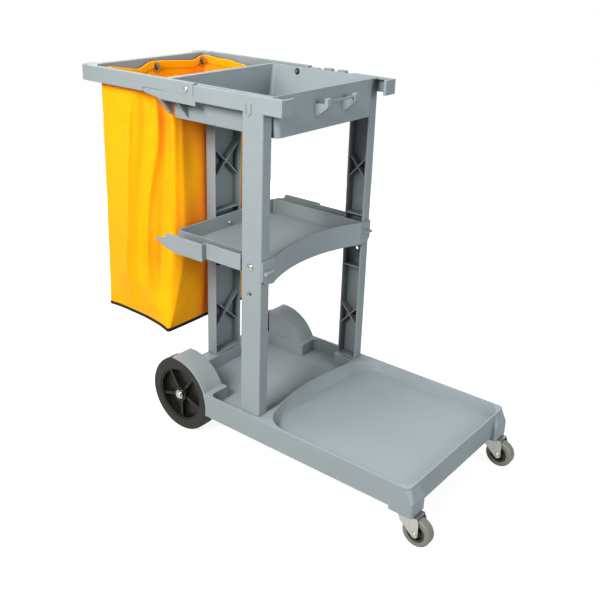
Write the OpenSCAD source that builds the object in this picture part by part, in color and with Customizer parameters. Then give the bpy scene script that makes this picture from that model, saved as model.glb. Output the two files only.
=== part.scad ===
// Janitor cart: moulded base with deck and wheel arches, three ribbed posts, shelf, top tray,
// bag frame with a hanging bag, two rear wheels and two swivel casters.
// X runs along the cart with the deck at +X, Y runs across it, Z is up from the floor.
// Lengths along X count from the front face of the front posts. placed() then moves every
// piece so that the origin lies under the middle of the whole cart.

/* [Overall] */
// Width of the base
base_w = 484; // [470:1:540]
// Front face of the front posts to the front wall of the base
deck_l = 460; // [400:1:540]
// Front face of the front posts back to the rear corners of the bag frame
frame_reach = 650; // [610:1:720]
// Height of the tray rim
rim_z = 978; // [930:1:1040]
// Step from the base side in to the posts, tray rails and bag frame
side_step = 10; // [6:1:14]
// Clearance of running fits
run_gap = 0.05; // [0.02:0.01:0.08]
// Clearance where mouldings slide into each other
slip_gap = 0.3; // [0.3:0.05:0.6]

/* [Base] */
// Height of the lower edge of the base walls
skirt_z = 92; // [88:1:98]
// Height of the base rim
base_z = 157; // [152:1:165]
// Depth of the deck recess
deck_depth = 29; // [22:1:32]
// Depth of the well behind the posts
well_depth = 37; // [33:1:38]
// Thickness of moulded floors
floor_t = 4; // [3:0.5:4.5]
// Thickness of the base rim
rim_t = 7; // [6:0.5:9]
// Rear corner radius of the deck recess
deck_rear_r = 75; // [60:1:85]
// Front corner radius of the deck recess
deck_front_r = 40; // [30:1:50]
// Radius of the curved ridge behind the deck
ridge_r = 690; // [640:5:800]
// Slope of the deck recess walls
deck_draft = 9; // [5:1:12]
// Thickness of the ribs under the floors
under_rib = 4; // [3:0.5:5]
// Length of a caster corner block
block_l = 66; // [62:1:72]
// Width of a caster corner block
block_w = 60; // [58:1:64]
// Distance that the caster blocks stand proud of the front wall
block_proud = 12; // [8:1:16]
// Height of the lower face of the caster blocks
block_z = 82; // [80:1:84]

/* [Posts] */
// Width of a front post along the cart
post_l = 63; // [60:1:66]
// Depth of a front post across the cart
post_t = 33; // [31:1:35]
// Wall of the post channels
post_wall = 4; // [3.5:0.5:4.5]
// Thickness of the ribs inside the posts
post_rib = 3.2; // [2.5:0.1:4]
// Width of the rear post
rear_post_w = 108; // [100:1:112]
// Depth of the rear post along the cart
rear_post_t = 33; // [32:1:35]
// Front face of the front posts back to the front of the rear post
rear_post_x = 322; // [318:1:330]

/* [Shelf] */
// Height of the shelf rim
shelf_z = 584; // [560:1:620]
// Depth of the shelf tray
shelf_depth = 39; // [34:1:42]
// Radius of the curved front wall of the shelf
shelf_front_r = 471; // [450:1:520]
// Height of the curved front wall of the shelf
shelf_front_h = 64; // [58:1:70]
// Distance that the rear tool plates stand proud of the rails
plate_proud = 14; // [11:1:16]

/* [Tray] */
// Height of the tray
tray_h = 98; // [92:1:104]
// Wall of the tray
tray_wall = 4; // [3:0.5:4.5]
// Draft of the tray sides
tray_draft = 12; // [8:1:14]
// Front face of the tray ahead of the posts
tray_front = 10; // [8:1:14]
// Front face of the posts back to the rear wall of the tray
tray_back = 335; // [333:1:338]
// Height of the rails round the tray
rail_h = 38; // [34:1:40]
// Length of the rails ahead of the posts
rail_front = 54; // [48:1:60]
// Rear end of the rails and front end of the bag frame arms
arm_end = 221; // [210:1:230]
// Front face of the posts back to the ends of the tongues under the bag frame
tongue_end = 397; // [390:1:402]
// Width of the tool notches in the far rail
notch_w = 20; // [16:1:22]

/* [Bag and frame] */
// Height of the bag frame above the tray rim
frame_lift = 4; // [2:1:6]
// Thickness of the bag frame seen from above
frame_t = 16; // [14:1:18]
// Height of the bag frame
frame_h = 40; // [38:1:42]
// Distance that the rear corners of the frame stand out behind its rear bar
corner_out = 21; // [17:1:25]
// Length of the rear corners of the frame
corner_l = 47; // [44:1:52]
// Radius of the rear corners of the frame
frame_r = 18; // [14:1:20]
// Thickness of the bag sheet
bag_t = 2.4; // [2:0.1:3]
// Height of the lowest edge of the bag
bag_low = 266; // [250:1:300]
// Rise of the rear lower edge of the bag over the front one
bag_tilt = 22; // [16:1:30]

/* [Rear wheels] */
// Diameter of the rear wheels
wheel_d = 216; // [208:1:222]
// Width of the rear wheels
wheel_w = 42; // [38:1:44]
// Front face of the posts back to the rear axle
axle_x = 298; // [294:1:302]
// Diameter of the rear axle
axle_d = 12; // [10:0.5:13]
// Diameter of the wheel hubs
hub_d = 158; // [150:1:164]
// Number of webs in a wheel hub
hub_webs = 5; // [4:1:6]
// Gap between tyre and wheel arch
arch_gap = 8; // [6:1:10]
// Thickness of the wheel arch
arch_t = 5; // [4:0.5:6]

/* [Casters] */
// Diameter of the caster wheels
caster_d = 74; // [70:1:76]
// Width of the caster wheels
caster_w = 26; // [24:1:27]
// Trail of the caster wheels
trail = 29; // [26:1:32]
// Distance from the base front wall back to the caster stems
stem_back = 12; // [10:1:18]
// Distance from the base side in to the caster stems
stem_in = 29; // [27:1:31]
// Diameter of the caster stem
stem_d = 12; // [10:0.5:12]
// Diameter of the caster wheel axle
pin_d = 8; // [7:0.5:9]

/* [Hidden] */
$fn = 64;
half = base_w / 2;
upper = half - side_step;
inner_post = upper - post_t;
axle_z = wheel_d / 2;
stem_x = deck_l - stem_back;
stem_y = half - stem_in;
pin_z = caster_d / 2;
post_x = (frame_reach - stem_x - trail - caster_d / 2) / 2;
deck_z = base_z - deck_depth;
well_z = base_z - well_depth;
deck_half = half - rim_t;
ridge_x = -11;
ridge_c = ridge_x + ridge_r;
rear_corner_y = deck_half - deck_rear_r;
rear_corner_x = ridge_c - sqrt(pow(ridge_r - deck_rear_r, 2) - pow(rear_corner_y, 2));
arch_in = axle_z + arch_gap;
arch_r = arch_in + arch_t;
wheel_out = half - 18;
wheel_mid = wheel_out - wheel_w / 2;
house = wheel_out - wheel_w - 7;
arch_out = half - 2;
rear_end = rear_post_x + rear_post_t;
socket_z = rim_z - tray_h - 2;
tray_low = rim_z - tray_h;
tray_floor = tray_low + 13;
tray_half = inner_post + 4;
tongue_z = rim_z - 26;
frame_z = rim_z + frame_lift;
frame_low = frame_z - frame_h;
shelf_floor = shelf_z - shelf_depth;
shelf_half = inner_post - 1;
shelf_c = 8.6 + sqrt(pow(shelf_front_r, 2) - pow(shelf_half, 2));
bolt_x = -34;
shelf_bolt_z = shelf_z - 21;
arm_bolt_x = -arm_end - 25;
arm_bolt_z = tongue_z + 14;
lip_x = -350;
bag_rim = rim_z - 8;
bar_back = -frame_reach + corner_out;
bar_face = bar_back + frame_t + 2;
bag_back = bar_face + 8;
bag_front = -rear_end - 7;
bag_half = upper - frame_t - 11;
foot_back = bag_back - 5;
foot_front = bag_front - 5;
hook_z = rim_z - 24;
hook_w = 10;
hook_rear = bag_half - 23;
hook_front = bag_half - 65;
back_lean = atan2(bag_back - foot_back, bag_rim - bag_low - bag_tilt);
front_lean = atan2(bag_front - foot_front, bag_rim - bag_low);
hook_back_x = bag_back - (bag_rim - hook_z) * tan(back_lean);
hook_front_x = bag_front - (bag_rim - hook_z) * tan(front_lean);
block_x1 = deck_l + block_proud;
block_x0 = block_x1 - block_l;
block_top = base_z - 37;
crown_z = block_z - 1.5;
crown_t = 3;
cup_t = 2.5;
ball_d = 5;
ball_n = 11;
ball_ring = 12;
seat_z = crown_z + ball_d + 0.05 + slip_gap + cup_t;
fork_in = caster_w / 2 + 3.5;
fork_t = 2.6;
plastic = [0.62, 0.67, 0.70];
dark = [0.18, 0.18, 0.17];
steel = [0.72, 0.73, 0.72];
yellow = [0.97, 0.78, 0.10];

// Moves a piece from the post face to the middle of the cart
module placed() {
  translate([post_x, 0, 0])
    children();
}

// A piece and its mirror image on the far side
module both_sides() {
  children();
  mirror([0, 1, 0])
    children();
}

// Block between two corners
module span(x0, x1, y0, y1, z0, z1) {
  translate([x0, y0, z0])
    cube([x1 - x0, y1 - y0, z1 - z0]);
}

// Plan outline raised between two heights
module plan(z0, z1) {
  translate([0, 0, z0])
    linear_extrude(z1 - z0)
      children();
}

// Side view outline (x, z) carried across from y0 to y1
module side(y0, y1) {
  translate([0, y1, 0])
    rotate([90, 0, 0])
      linear_extrude(y1 - y0)
        children();
}

// End view outline (y, z) carried along from x0 to x1
module end(x0, x1) {
  translate([x0, 0, 0])
    rotate([90, 0, 90])
      linear_extrude(x1 - x0)
        children();
}

// Rectangle with round corners
module rounded(x0, x1, y0, y1, r) {
  translate([x0 + r, y0])
    square([x1 - x0 - 2 * r, y1 - y0]);
  translate([x0, y0 + r])
    square([x1 - x0, y1 - y0 - 2 * r]);
  for (x = [x0 + r, x1 - r], y = [y0 + r, y1 - r])
    translate([x, y])
      circle(r);
}

// Round bar across the cart
module across(x, z, y0, y1, r) {
  translate([x, y0, z])
    rotate([-90, 0, 0])
      cylinder(h = y1 - y0, r = r);
}

// Hexagon across the cart, s is the width over flats
module hex_across(x, z, y0, y1, s) {
  translate([x, y0, z])
    rotate([-90, 0, 0])
      cylinder(h = y1 - y0, r = s / sqrt(3), $fn = 6);
}

// Crossed diagonal ribs inside a box of width w and height h
module crossed(w, h, t) {
  intersection() {
    square([w, h], center = true);
    union() {
      rotate(atan2(h, w))
        square([w + h, t], center = true);
      rotate(-atan2(h, w))
        square([w + h, t], center = true);
    }
  }
}

// Base

// Deck recess with sloping walls, round corners and the curved rear ridge
module deck_recess() {
  hull() {
    for (k = [0, 1])
      translate([0, 0, k == 0 ? deck_z : base_z])
        linear_extrude(k == 0 ? 0.01 : 1)
          deck_marks(k == 0 ? deck_draft : 0);
  }
}

module deck_marks(g) {
  for (s = [-1, 1]) {
    translate([deck_l - rim_t + 3 - deck_front_r, s * (deck_half - deck_front_r)])
      circle(deck_front_r - g, $fn = 48);
    translate([rear_corner_x, s * rear_corner_y])
      circle(deck_rear_r - g, $fn = 48);
  }
  intersection() {
    translate([ridge_c, 0])
      circle(ridge_r - 2 * g, $fn = 240);
    translate([ridge_x, -rear_corner_y])
      square([60, 2 * rear_corner_y]);
  }
}

module base_outline() {
  rounded(-axle_x + arch_in - 20, deck_l, -half, half, 16);
  translate([-rear_end, -house])
    square([rear_end, 2 * house]);
}

// Well behind the ridge, narrowed between the wheels and round the post feet
module well_outline() {
  difference() {
    union() {
      rounded(-rear_post_x + 10, 20, -house + 9, house - 9, 12);
      rounded(-axle_x + arch_in + 12, 20, -half + rim_t, half - rim_t, 18);
    }
    translate([ridge_c, 0])
      circle(ridge_r + 6, $fn = 240);
    translate([-2, -half])
      square([60, base_w]);
    for (s = [0, 1])
      mirror([0, s])
        rounded(-post_l - 5, 30, inner_post - 12, half, 6);
  }
}

// Wheel arch with its closed inner wall and the ear for the axle
module wheel_arch() {
  side(house - 4, arch_out)
    intersection() {
      difference() {
        translate([-axle_x, axle_z])
          circle(arch_r);
        translate([-axle_x, axle_z])
          circle(arch_in);
      }
      translate([-axle_x - 10, base_z - 40])
        square([arch_r + 20, arch_r]);
    }
  side(house - 4, house)
    union() {
      intersection() {
        translate([-axle_x, axle_z])
          circle(arch_r);
        translate([-axle_x - 10, skirt_z])
          square([arch_r + 20, arch_r * 2]);
      }
      translate([-rear_end, skirt_z])
        square([rear_end - axle_x + 40, base_z - skirt_z]);
      translate([-axle_x, axle_z])
        circle(26);
    }
  across(-axle_x, axle_z, house - 24, house, 14);
}

// Corner block over a caster, with a sloping shoulder up to the rim
module caster_block() {
  plan(block_z, block_top)
    rounded(block_x0, block_x1, half - block_w, half, 7);
  hull() {
    plan(block_top - 1, block_top)
      rounded(block_x0, block_x1, half - block_w, half, 7, $fn = 32);
    plan(base_z - 4, base_z - 3)
      rounded(block_x0 + 4, deck_l, half - block_w + 6, half - 0.5, 16, $fn = 32);
  }
}

// Hollow of a caster block round its stem boss
module block_hollow() {
  difference() {
    plan(block_z - 1, block_top - 6)
      rounded(block_x0 + 5, block_x1 - 5, half - block_w + 5, half - 5, 4);
    translate([stem_x, stem_y, seat_z])
      cylinder(h = 60, r = 15);
    span(block_x0, block_x1, stem_y - 2, stem_y + 2, seat_z + 8, base_z);
    span(stem_x - 2, stem_x + 2, half - block_w, half, seat_z + 8, base_z);
  }
}

// Pockets that leave the ribs under the deck and the well
module under_pockets() {
  x0 = 8;
  px = (deck_l - rim_t - x0 + under_rib) / 6;
  py = (2 * deck_half + under_rib) / 5;
  for (i = [0:5], j = [0:4])
    span(x0 + i * px, x0 + (i + 1) * px - under_rib, -deck_half + j * py,
         -deck_half + (j + 1) * py - under_rib, skirt_z - 1, deck_z - floor_t);
  wx = (rear_post_x - 12 - post_l - 9) / 3;
  wy = (2 * (house - 10) + under_rib) / 3;
  for (i = [0:2], j = [0:2])
    span(-rear_post_x + 14 + i * wx, -rear_post_x + 14 + (i + 1) * wx - under_rib,
         -house + 10 + j * wy, -house + 10 + (j + 1) * wy - under_rib, skirt_z - 1, well_z - floor_t);
  both_sides() {
    span(-axle_x + arch_in + 14, -post_l - 9, house + 2, deck_half, skirt_z - 1, well_z - floor_t);
    span(-post_l - 3, 2, inner_post - 2, deck_half, skirt_z - 1, well_z - 8);
    span(-rear_end + 5, -rear_post_x + 8, rear_post_w / 2 + 8, house - 10, skirt_z - 1, base_z - 6);
  }
  span(-post_l - 3, 2, -inner_post + 6, inner_post - 6, skirt_z - 1, well_z - floor_t);
  span(-rear_end + 5, -rear_post_x + 8, -rear_post_w / 2 + 4, rear_post_w / 2 - 4, skirt_z - 1, well_z - 8);
}

// Pockets and slots at the post feet
module foot_pockets() {
  both_sides() {
    plan(well_z + 6, base_z + 1)
      rounded(-post_l + post_wall, -post_wall, inner_post + post_wall, upper - post_wall, 2);
    span(-43, -4, inner_post - 8, inner_post - 3, base_z - 12, base_z + 1);
    translate([-post_l / 2, (inner_post + upper) / 2, skirt_z])
      cylinder(h = base_z, r = 2.8);
  }
  plan(well_z + 6, base_z + 1)
    rounded(-rear_end + post_wall, -rear_post_x - post_wall, -rear_post_w / 2 + post_wall,
            rear_post_w / 2 - post_wall, 2);
  span(-rear_post_x + 2.5, -rear_post_x + 7, -48, 48, base_z - 12, base_z + 1);
  for (y = [-30, 30])
    translate([-rear_post_x - rear_post_t / 2, y, skirt_z])
      cylinder(h = base_z, r = 2.8);
}

module base_platform() {
  color(plastic)
    placed()
      difference() {
        union() {
          difference() {
            plan(skirt_z, base_z)
              base_outline();
            under_pockets();
          }
          both_sides() {
            caster_block();
            wheel_arch();
          }
        }
        deck_recess();
        plan(well_z, base_z + 1)
          well_outline();
        foot_pockets();
        both_sides() {
          block_hollow();
          across(-axle_x, axle_z, house, half + 5, arch_in);
          translate([stem_x, stem_y, block_z])
            cylinder(h = 44, r = stem_d / 2 + slip_gap / 3);
        }
        across(-axle_x, axle_z, -half, half, axle_d / 2 + 0.1);
      }
}

// Posts

// Channel section of a front post on the far side, open towards the middle
module post_section() {
  difference() {
    rounded(-post_l, 0, inner_post, upper, 3.5);
    translate([-post_l + post_wall, inner_post - 1])
      square([post_l - 2 * post_wall, post_t - post_wall + 1]);
  }
}

// Spigot that fits the sockets of the base and the tray
module post_spigot() {
  difference() {
    rounded(-post_l + post_wall + slip_gap, -post_wall - slip_gap, inner_post + post_wall + slip_gap,
            upper - post_wall - slip_gap, 2);
    rounded(-post_l + 2 * post_wall + slip_gap, -2 * post_wall - slip_gap, inner_post + 2 * post_wall,
            upper - 2 * post_wall, 1.5);
  }
}

module front_post() {
  mid = -post_l / 2;
  difference() {
    union() {
      plan(base_z, socket_z)
        post_section();
      plan(well_z + 8, base_z + 2)
        post_spigot();
      plan(socket_z - 2, socket_z + 58)
        post_spigot();
      for (z = [base_z, 442, shelf_z - 74, shelf_z + 14, socket_z - post_wall])
        span(-post_l + 1, -1, inner_post + (z > base_z && z < socket_z - 9 ? 3 : 0), upper - 1,
             z, z + post_wall);
      side(inner_post + 5, upper - 1)
        translate([mid, shelf_z + 149])
          crossed(post_l - 2, 66, post_rib);
      side(inner_post + 5, upper - 1)
        translate([mid, 290])
          crossed(post_l - 2, 66, post_rib);
    }
    across(bolt_x, shelf_bolt_z, upper - 10, upper + 1, 4.5);
    across(bolt_x, shelf_bolt_z, upper - 2, upper + 1, 9.5);
    across(bolt_x, shelf_bolt_z - 72, upper - 10, upper + 1, 4.5);
    across(bolt_x, shelf_bolt_z - 72, upper - 1.5, upper + 1, 8);
    translate([mid, (inner_post + upper) / 2, well_z])
      cylinder(h = 60, r = 2.2);
  }
}

module far_front_post() {
  color(plastic)
    placed()
      front_post();
}

module near_front_post() {
  color(plastic)
    placed()
      mirror([0, 1, 0])
        front_post();
}

module rear_post() {
  w = rear_post_w / 2;
  x0 = -rear_end;
  x1 = -rear_post_x;
  color(plastic)
    placed()
      difference() {
        union() {
          plan(base_z, tray_low)
            difference() {
              rounded(x0, x1, -w, w, 3.5);
              translate([x0 + post_wall, -w + post_wall])
                square([rear_post_t, 2 * (w - post_wall)]);
            }
          plan(well_z + 8, base_z + 2)
            rounded(x0 + post_wall + slip_gap, x1 - post_wall - slip_gap, -w + post_wall + slip_gap,
                    w - post_wall - slip_gap, 2);
          plan(tray_low - 2, tray_low + 56)
            rounded(x0 + post_wall + slip_gap, -tray_back - post_wall - slip_gap,
                    -w + post_wall + slip_gap, w - post_wall - slip_gap, 2);
          for (z = [base_z, 430, shelf_z - 90, shelf_z + 10, tray_low - post_wall])
            span(x0 + 1, x1 - (z > base_z && z < tray_low - 9 ? 6 : 0), -w + 1, w - 1, z, z + post_wall);
          end(x0 + 1, x1 - 8)
            translate([0, shelf_z + 149])
              crossed(rear_post_w - 2, 96, post_rib);
          end(x0 + 1, x1 - 8)
            translate([0, 282])
              crossed(rear_post_w - 2, 96, post_rib);
          span(x0 + 1, x1, -14, 14, shelf_bolt_z - 20, shelf_bolt_z + 8);
        }
        translate([x0 + 8, 0, shelf_bolt_z - 6])
          rotate([0, 90, 0])
            cylinder(h = 60, r = 2.6);
        for (y = [-30, 30]) {
          translate([x0 + rear_post_t / 2, y, well_z])
            cylinder(h = 28, r = 2.2);
          translate([x0 + post_wall + 2, y, tray_low + 26])
            rotate([0, 90, 0])
              cylinder(h = 30, r = 2.2);
        }
      }
}

// Shelf

// Plan of the shelf, g is the inset of its walls
module shelf_plan(g) {
  difference() {
    rounded(-rear_post_x + g, 60, -shelf_half + g, shelf_half - g, 8 - g);
    translate([shelf_c, 0])
      circle(shelf_front_r + g, $fn = 128);
    translate([4, -half])
      square([80, base_w]);
  }
}

// Side rail, tool plate and post lug of the far side
module shelf_side() {
  rail_top = shelf_z + 4;
  foot = shelf_floor + 1;
  plan(foot, foot + floor_t)
    rounded(-184, -post_l - 3, shelf_half - 2, upper, 1.5);
  plan(foot, rail_top)
    rounded(-184, -post_l - 3, upper - 4, upper, 1.8);
  plan(foot, foot + floor_t)
    rounded(-rear_post_x + 4, -182, shelf_half - 2, upper + plate_proud, 1.5);
  plan(foot, rail_top - 1)
    rounded(-190, -184, upper - 4, upper + plate_proud, 1.8);
  side(upper + plate_proud - 5, upper + plate_proud)
    polygon([[-184, foot - 5], [-184, rail_top], [-rear_post_x + 10, rail_top],
             [-rear_post_x + 4, rail_top - 12], [-rear_post_x - 30, rail_top - 20],
             [-rear_post_x - 30, rail_top - 26], [-rear_post_x + 34, foot - 5]]);
  span(-50, -18, shelf_half - 2, upper - post_wall - slip_gap, shelf_bolt_z - 14, shelf_bolt_z + 15);
  end(0, 5)
    polygon([[shelf_half - 14, shelf_z - shelf_front_h + 2], [upper - 14, shelf_z - shelf_front_h + 2],
             [upper - 2, shelf_z - shelf_front_h + 14], [upper - 2, shelf_z], [shelf_half - 14, shelf_z]]);
  side(inner_post, upper - 6)
    polygon([[4, shelf_z - 37], [16, shelf_z - 32], [16, shelf_z - 27], [4, shelf_z - 27]]);
}

module mid_shelf() {
  color(plastic)
    placed()
      difference() {
        union() {
          difference() {
            plan(shelf_floor - floor_t, shelf_z)
              shelf_plan(0);
            plan(shelf_floor, shelf_z + 1)
              shelf_plan(4);
          }
          plan(shelf_z - shelf_front_h, shelf_z)
            intersection() {
              difference() {
                translate([shelf_c, 0])
                  circle(shelf_front_r + 4, $fn = 128);
                translate([shelf_c, 0])
                  circle(shelf_front_r, $fn = 128);
              }
              translate([-60, -shelf_half])
                square([64, 2 * shelf_half]);
            }
          both_sides()
            shelf_side();
        }
        both_sides()
          across(bolt_x, shelf_bolt_z, shelf_half - 20, upper, 4.2);
        translate([-rear_post_x - 5, 0, shelf_bolt_z - 6])
          rotate([0, 90, 0])
            cylinder(h = 20, r = 3.2);
      }
}

// Tray

// Drafted bin outline, g is the inset of its walls
module bin(g, z0, z1) {
  hull() {
    plan(z0, z0 + 0.01)
      rounded(-tray_back + g, tray_front - g, -tray_half + tray_draft + g, tray_half - tray_draft - g,
              14 - g, $fn = 32);
    plan(z1 - 0.01, z1)
      rounded(-tray_back + g, tray_front - g, -tray_half + g, tray_half - g, 14 - g, $fn = 32);
  }
}

// Post socket, side rail and frame bracket of the far side
module tray_side() {
  rail_low = rim_z - rail_h;
  plan(socket_z, rim_z)
    rounded(-post_l, 0, inner_post, upper, 3.5);
  plan(rim_z - 4, rim_z)
    rounded(-arm_end, tray_front - 1, tray_half - 4, upper, 1.8);
  plan(rim_z - 4, rim_z)
    rounded(-20, rail_front, upper - 18, upper, 1.8);
  plan(rail_low, rim_z)
    rounded(-arm_end, rail_front, upper - 4, upper, 1.8);
  plan(rail_low, rim_z)
    rounded(rail_front - 8, rail_front, inner_post - 13, upper, 3);
  plan(rim_z - 4, rim_z)
    rounded(-tray_back + 6 + slip_gap, -arm_end + 3, tray_half - 4, upper - frame_t - slip_gap, 1.5);
  span(-arm_end, -arm_end + 4, tray_half - 4, upper - 2, tongue_z - 4, rim_z - 2);
  side(upper - 4, upper)
    polygon([[-tongue_end, tongue_z - 10], [-tongue_end, tongue_z], [-arm_end + 7, tongue_z],
             [-arm_end + 7, tongue_z - 23], [-320, tongue_z - 22.5], [-tongue_end + 10, tongue_z - 13]]);
  span(-tongue_end, -tray_back + 2, upper - frame_t, upper - 1, tongue_z - 4, tongue_z);
  span(-tray_back, -arm_end + 2, tray_half - 6, upper - 1, tongue_z - 4, tongue_z);
  for (x = [[-346, -333], [-281, -277]])
    end(x[0], x[1])
      polygon([[tray_half - tray_draft + 1, tray_low + 6], [upper - 1, tongue_z - 22],
               [upper - 1, tongue_z - 2], [tray_half - 6, tongue_z - 2]]);
  across(arm_bolt_x, arm_bolt_z, tray_half - 3, upper - frame_t, 11);
}

// Far side rail with its openings, cut clear of the drafted side of the bin
module far_rail() {
  difference() {
    tray_side();
    end(-tray_back - slip_gap, tray_front + slip_gap)
      polygon([[0, tray_low - 8], [tray_half - tray_draft + slip_gap, tray_low - 8],
               [tray_half - tray_draft + slip_gap, tray_low], [tray_half + slip_gap, rim_z],
               [tray_half + slip_gap, rim_z + 8], [0, rim_z + 8]]);
    plan(socket_z - 1, socket_z + 62)
      rounded(-post_l + post_wall, -post_wall, inner_post + post_wall, upper - post_wall, 2);
    across(arm_bolt_x, arm_bolt_z, tray_half - 20, upper, 4.2);
    across(arm_bolt_x, arm_bolt_z, tray_half - 20, tray_half, 8.5);
    side(upper - 1.4, upper + 1)
      snap_line();
  }
}

module near_tray_rail() {
  color(plastic)
    placed()
      difference() {
        mirror([0, 1, 0])
          far_rail();
        for (x = [[-arm_end + 8, -106], [-94, -post_l]])
          span(x[0], x[1], -upper + 13, -upper + 19, rim_z - 2.4, rim_z + 1);
      }
}

module far_tray_rail() {
  color(plastic)
    placed()
      difference() {
        union() {
          far_rail();
          for (x = [-170, -124])
            plan(rim_z - 1, rim_z + 4)
              rounded(x, x + 26, upper - 15, upper, 1.8);
        }
        for (x = [-190, -144, -98])
          span(x, x + notch_w, upper - 16, upper + 1, rim_z - 12, rim_z + 6);
      }
}

// Front holder: two gussets with upright tips and a thin bar between them
module front_holder() {
  for (y = [-43, 69])
    side(y - 8, y + 8)
      polygon([[tray_front - 2, rim_z - 72], [tray_front - 2, rim_z - 34], [36, rim_z - 34],
               [36, rim_z - 19], [47, rim_z - 19], [47, rim_z - 39]]);
  span(40, 43.5, -36, 62, rim_z - 30, rim_z - 24);
}

// U-shaped line of the snap tongue in a post socket
module snap_line() {
  difference() {
    polygon([[-52, rim_z - 20], [-52, rim_z - 42], [-43, rim_z - 51], [-34, rim_z - 42], [-34, rim_z - 20]]);
    polygon([[-49.6, rim_z - 19], [-49.6, rim_z - 41], [-43, rim_z - 47.6], [-36.4, rim_z - 41],
             [-36.4, rim_z - 19]]);
  }
}

module top_tray() {
  color(plastic)
    placed()
      difference() {
        union() {
          bin(0, tray_low, rim_z);
          plan(rim_z - 4, rim_z)
            rounded(lip_x, -tray_back + 6, -upper + frame_t + slip_gap, upper - frame_t - slip_gap, 1.5);
          plan(rim_z - 34, rim_z)
            rounded(lip_x, lip_x + 4, -inner_post, inner_post, 1.8);
          plan(tray_low, rim_z - 2)
            rounded(-rear_end, -tray_back + 3, -rear_post_w / 2, rear_post_w / 2, 3.5);
          front_holder();
        }
        bin(tray_wall, tray_floor, rim_z + 1);
        plan(tray_low - 1, tray_floor - floor_t)
          rounded(-tray_back + 5, tray_front - 5, -tray_half + tray_draft + 5, tray_half - tray_draft - 5, 9);
        plan(tray_low - 1, tray_low + 60)
          rounded(-rear_end + post_wall, -tray_back - post_wall, -rear_post_w / 2 + post_wall,
                  rear_post_w / 2 - post_wall, 2);
        both_sides()
          across(arm_bolt_x, arm_bolt_z, tray_half - 20, tray_half + 1, 8.5);
        for (y = [-30, 30])
          translate([-tray_back - post_wall - 1, y, tray_low + 26])
            rotate([0, 90, 0])
              cylinder(h = 20, r = 2.8);
      }
}

// Bag frame

// Plan of the frame: arms that run into a corner each and a rear bar set forward of the corners
module frame_plan() {
  corner_c = [-frame_reach + frame_r, upper - 3 - frame_r];
  arm_back = bar_face + 8;
  both_sides() {
    polygon([[-arm_end - slip_gap, upper], [arm_back, upper], corner_tangent(arm_back, corner_c), corner_c,
             [bar_face, upper - frame_t - 18], [bar_face + 18, upper - frame_t],
             [-arm_end - slip_gap, upper - frame_t]]);
    rounded(-frame_reach, bar_face + 1, upper - 3 - corner_l, upper - 3, frame_r);
  }
  translate([bar_back, -upper + frame_t + 9])
    square([bar_face - bar_back, 2 * (upper - frame_t - 9)]);
}

// Point where the line from the arm's outer face at x touches the corner round c
function corner_tangent(x, c) =
  let (d = [c[0] - x, c[1] - upper], l = norm(d))
  let (t = sqrt(l * l - frame_r * frame_r), a = atan2(d[1], d[0]) - asin(frame_r / l))
  [x + t * cos(a), upper + t * sin(a)];

module bag_frame() {
  color(plastic)
    placed()
      difference() {
        plan(frame_low, frame_z)
          frame_plan();
        span(-tongue_end - 2, 0, -half, half, frame_low - 1, tongue_z);
        span(-tongue_end - 2, -tray_back + 5, -half, half, frame_low - 1, tongue_z + 0.8);
        for (y = [-2 : 2])
          span(bar_back + 4, bar_face - 4, y * 72 - 34, y * 72 + 34, frame_low - 1, frame_z - 4);
        both_sides() {
          for (x = [bar_face + 24, (bar_face - 406) / 2 + 14])
            span(x, x + (-406 - bar_face) / 2 - 14, upper - frame_t + 4, upper - 4, frame_low - 1, frame_z - 4);
          across(arm_bolt_x, arm_bolt_z, upper - frame_t - 1, upper + 1, 4.2);
        }
      }
}

// Bag

// Bag form, g is the inset from the outer surface
module bag_form(g, top) {
  hull() {
    plan(top - 1, top)
      rounded(bag_back + g, bag_front - g, -bag_half + g, bag_half - g, 10 - g, $fn = 32);
    bag_bottom(g, 0)
      linear_extrude(1)
        bag_foot(-g, $fn = 32);
  }
}

// Outline of the bag bottom, grown by g
module bag_foot(g) {
  rounded(foot_back - g, foot_front + g, -bag_half + 2 - g, bag_half - 2 + g, 16 + g);
}

// Tilted plane of the bag bottom, lifted by g
module bag_bottom(g, lift) {
  translate([foot_front, 0, bag_low + g + lift])
    rotate([0, atan2(bag_tilt, foot_front - foot_back), 0])
      translate([-foot_front, 0, 0])
        children();
}

// Places of the bag hooks along the rear bar and the tray lip
module at_hooks() {
  for (y = [-hook_rear, 0, hook_rear])
    translate([bar_face, y, hook_z])
      children();
  for (y = [-hook_front, hook_front])
    translate([lip_x, y, hook_z])
      mirror([1, 0, 0])
        children();
}

module waste_bag() {
  color(yellow)
    placed()
      difference() {
        bag_form(0, bag_rim);
        bag_form(bag_t, bag_rim + 1);
        for (y = [-hook_rear, 0, hook_rear])
          translate([hook_back_x, y, hook_z])
            rotate([0, 90 + back_lean, 0])
              cylinder(h = 20, r = 8, center = true);
        for (y = [-hook_front, hook_front])
          translate([hook_front_x, y, hook_z])
            rotate([0, 90 + front_lean, 0])
              cylinder(h = 20, r = 8, center = true);
      }
}

module bag_binding() {
  color(dark)
    placed()
      bag_bottom(0, -1)
        linear_extrude(9)
          difference() {
            bag_foot(2.8);
            bag_foot(1);
          }
}

module bag_grommets() {
  color(steel)
    placed() {
      for (y = [-hook_rear, 0, hook_rear])
        translate([hook_back_x, y, hook_z])
          rotate([0, back_lean, 0])
            grommet();
      for (y = [-hook_front, hook_front])
        translate([hook_front_x, y, hook_z])
          mirror([1, 0, 0])
            rotate([0, -front_lean, 0])
              grommet();
    }
}

// Eyelet clinched through the bag sheet
module grommet() {
  rotate([0, 90, 0])
    rotate_extrude()
      polygon([[6, -1.8], [12, -1.8], [12, -0.2], [7.6, -0.2], [7.6, bag_t + 0.2], [12, bag_t + 0.2],
               [12, bag_t + 1.8], [6, bag_t + 1.8]]);
}

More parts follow.
